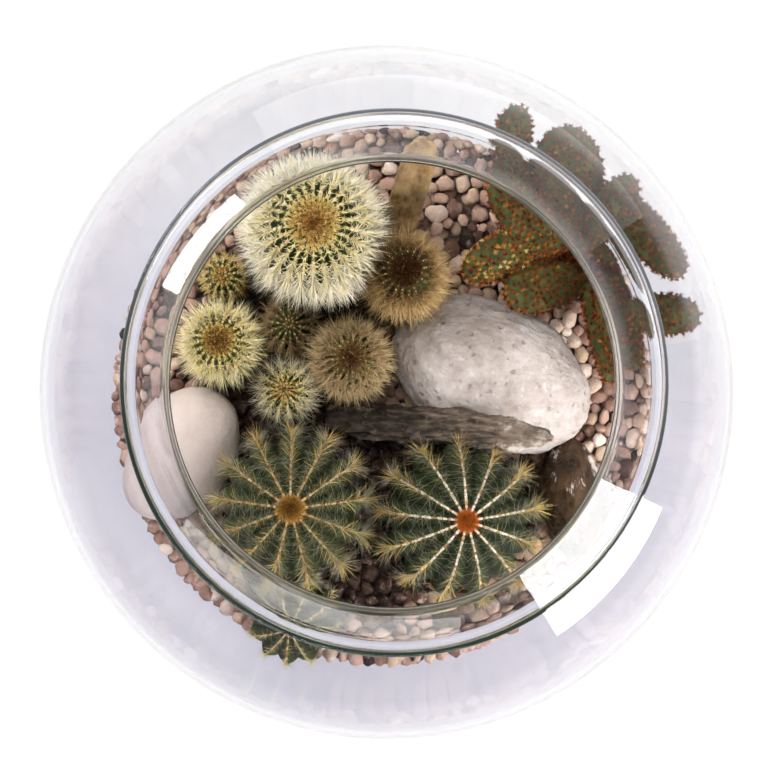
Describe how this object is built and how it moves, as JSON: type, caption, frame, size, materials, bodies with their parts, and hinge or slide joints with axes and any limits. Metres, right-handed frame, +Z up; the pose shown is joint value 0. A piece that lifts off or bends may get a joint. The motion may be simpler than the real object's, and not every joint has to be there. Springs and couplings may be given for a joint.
{
  "type": "glass plant terrarium",
  "caption": "Round glass bowl with a flared neck, planted with columnar, ribbed and pad cacti among rounded stones on a gravel bed.",
  "frame": {"origin": "centre of the bowl's flat base, on the surface it stands on", "axes": "+Z up along the bowl's axis; +X to the right and +Y to the top of the picture, which looks down"},
  "size_m": [0.3, 0.3, 0.235],
  "materials": {
    "clear_glass": "polished, faintly green at the edges",
    "drainage_gravel": "rounded grey pebbles, matte",
    "soil": "dark sandy potting mix",
    "top_gravel": "rounded pinkish-grey pebbles, matte",
    "white_stone": "smooth, pitted limestone",
    "beige_stone": "smooth and matte",
    "slate": "split, with a pale weathered tip",
    "brown_stone": "dark, semi-gloss, with pale streaks",
    "tan_stone": "layered sandstone, matte",
    "cream_spined_cactus": "dark green skin under dense cream spines",
    "brown_spined_cactus": "dark green skin under dense brown spines",
    "green_cactus": "green skin with short white and yellow spines",
    "ribbed_cactus": "waxy blue-green ribs with yellow spines",
    "pad_cactus": "velvety green pads with red-brown bristle tufts"
  },
  "bodies": {
    "root": {"glass_bowl": "clear_glass", "drainage_gravel": "drainage_gravel", "soil": "soil", "top_gravel": "top_gravel", "stone_white": "white_stone", "stone_beige": "beige_stone", "stone_slate": "slate", "stone_brown": "brown_stone", "stone_tan": "tan_stone", "cactus_large_cream": "cream_spined_cactus", "cactus_cream_left": "cream_spined_cactus", "cactus_cream_middle": "cream_spined_cactus", "cactus_brown": "brown_spined_cactus", "cactus_small_green": "green_cactus", "cactus_small_hidden": "green_cactus", "cactus_small_white": "green_cactus", "cactus_ribbed_left": "ribbed_cactus", "cactus_ribbed_right": "ribbed_cactus", "cactus_pup": "ribbed_cactus", "cactus_pads": "pad_cactus"}
  },
  "joints": []
}
